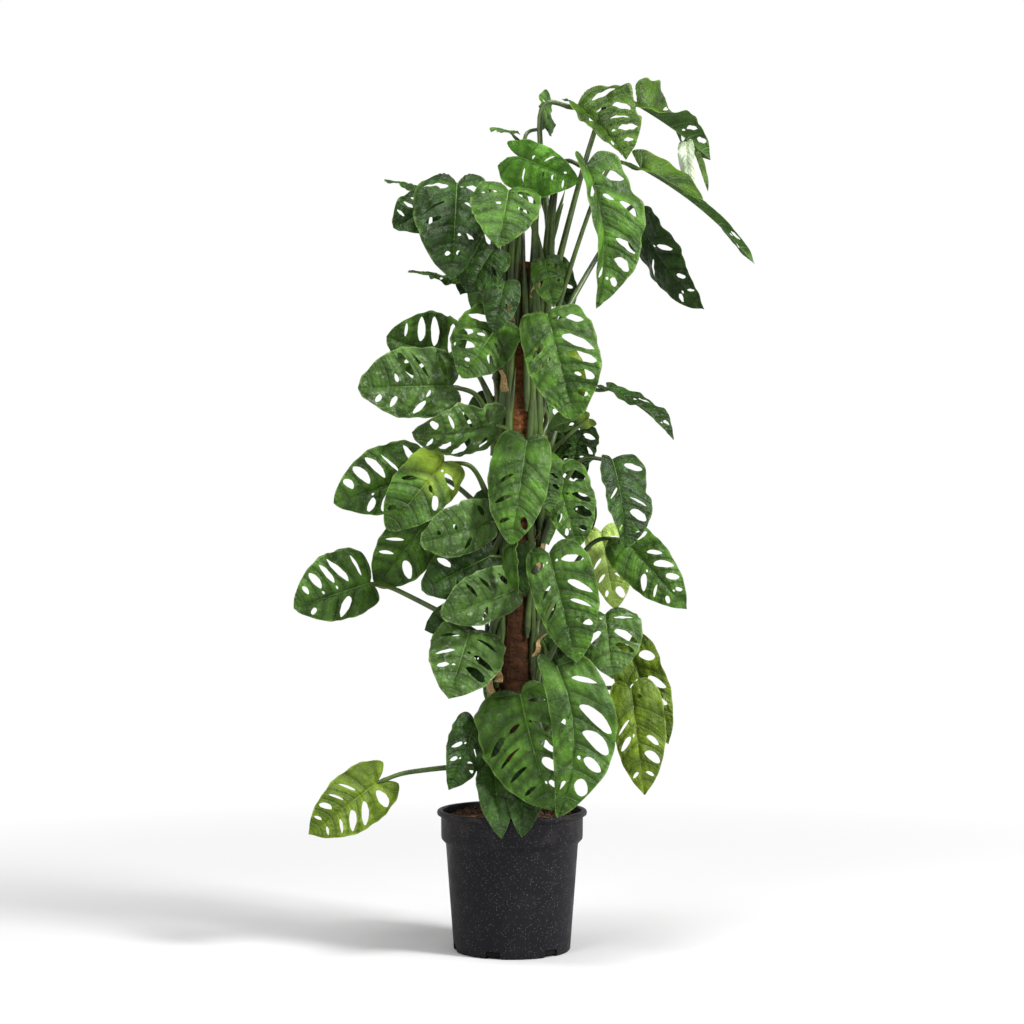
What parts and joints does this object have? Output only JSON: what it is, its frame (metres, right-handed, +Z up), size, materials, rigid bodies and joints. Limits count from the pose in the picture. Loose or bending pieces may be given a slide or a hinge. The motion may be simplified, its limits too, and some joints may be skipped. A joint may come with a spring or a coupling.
{
  "type": "potted climbing house plant",
  "caption": "Swiss cheese vine with perforated leaves, trained up a coir pole in a round black nursery pot.",
  "frame": {"origin": "centre of the pot's underside, on the surface that it stands on", "axes": "+Z up along the pot's axis, -Y towards the side that the picture shows"},
  "size_m": [0.7273, 0.3251, 1.4014],
  "materials": {
    "pot_plastic": "satin",
    "soil": "matte",
    "coir": "matte",
    "stake_wood": "matte",
    "stem": "satin",
    "leaf_mature": "satin",
    "leaf_dark": "satin",
    "leaf_fresh": "satin",
    "leaf_lime": "satin",
    "leaf_olive": "satin"
  },
  "bodies": {
    "root": {"pot": "pot_plastic", "soil": "soil", "coir_sleeve": "coir", "pole_stake": "stake_wood", "vine_left": "stem", "vine_right": "stem", "vine_back": "stem", "leaf_01": "leaf_mature", "leaf_02": "leaf_dark", "leaf_03": "leaf_mature", "leaf_04": "leaf_mature", "leaf_05": "leaf_dark", "leaf_06": "leaf_mature", "leaf_07": "leaf_mature", "leaf_08": "leaf_fresh", "leaf_09": "leaf_dark", "leaf_10": "leaf_mature", "leaf_11": "leaf_dark", "leaf_12": "leaf_dark", "leaf_13": "leaf_mature", "leaf_14": "leaf_dark", "leaf_15": "leaf_mature", "leaf_16": "leaf_mature", "leaf_17": "leaf_mature", "leaf_18": "leaf_dark", "leaf_19": "leaf_mature", "leaf_20": "leaf_olive", "leaf_21": "leaf_dark", "leaf_22": "leaf_dark", "leaf_23": "leaf_dark", "leaf_24": "leaf_mature", "leaf_25": "leaf_lime", "leaf_26": "leaf_mature", "leaf_27": "leaf_mature", "leaf_28": "leaf_mature", "leaf_29": "leaf_mature", "leaf_30": "leaf_mature", "leaf_31": "leaf_olive", "leaf_32": "leaf_mature", "leaf_33": "leaf_dark", "leaf_34": "leaf_dark", "leaf_35": "leaf_mature", "leaf_36": "leaf_mature", "leaf_37": "leaf_mature", "leaf_38": "leaf_mature", "leaf_39": "leaf_olive", "leaf_40": "leaf_olive", "leaf_41": "leaf_mature", "leaf_42": "leaf_mature", "leaf_43": "leaf_mature", "leaf_44": "leaf_dark", "leaf_45": "leaf_dark", "leaf_46": "leaf_dark", "leaf_47": "leaf_dark", "leaf_48": "leaf_olive", "leaf_49": "leaf_dark", "leaf_50": "leaf_dark", "leaf_51": "leaf_dark", "leaf_52": "leaf_mature", "leaf_53": "leaf_mature"}
  },
  "joints": []
}
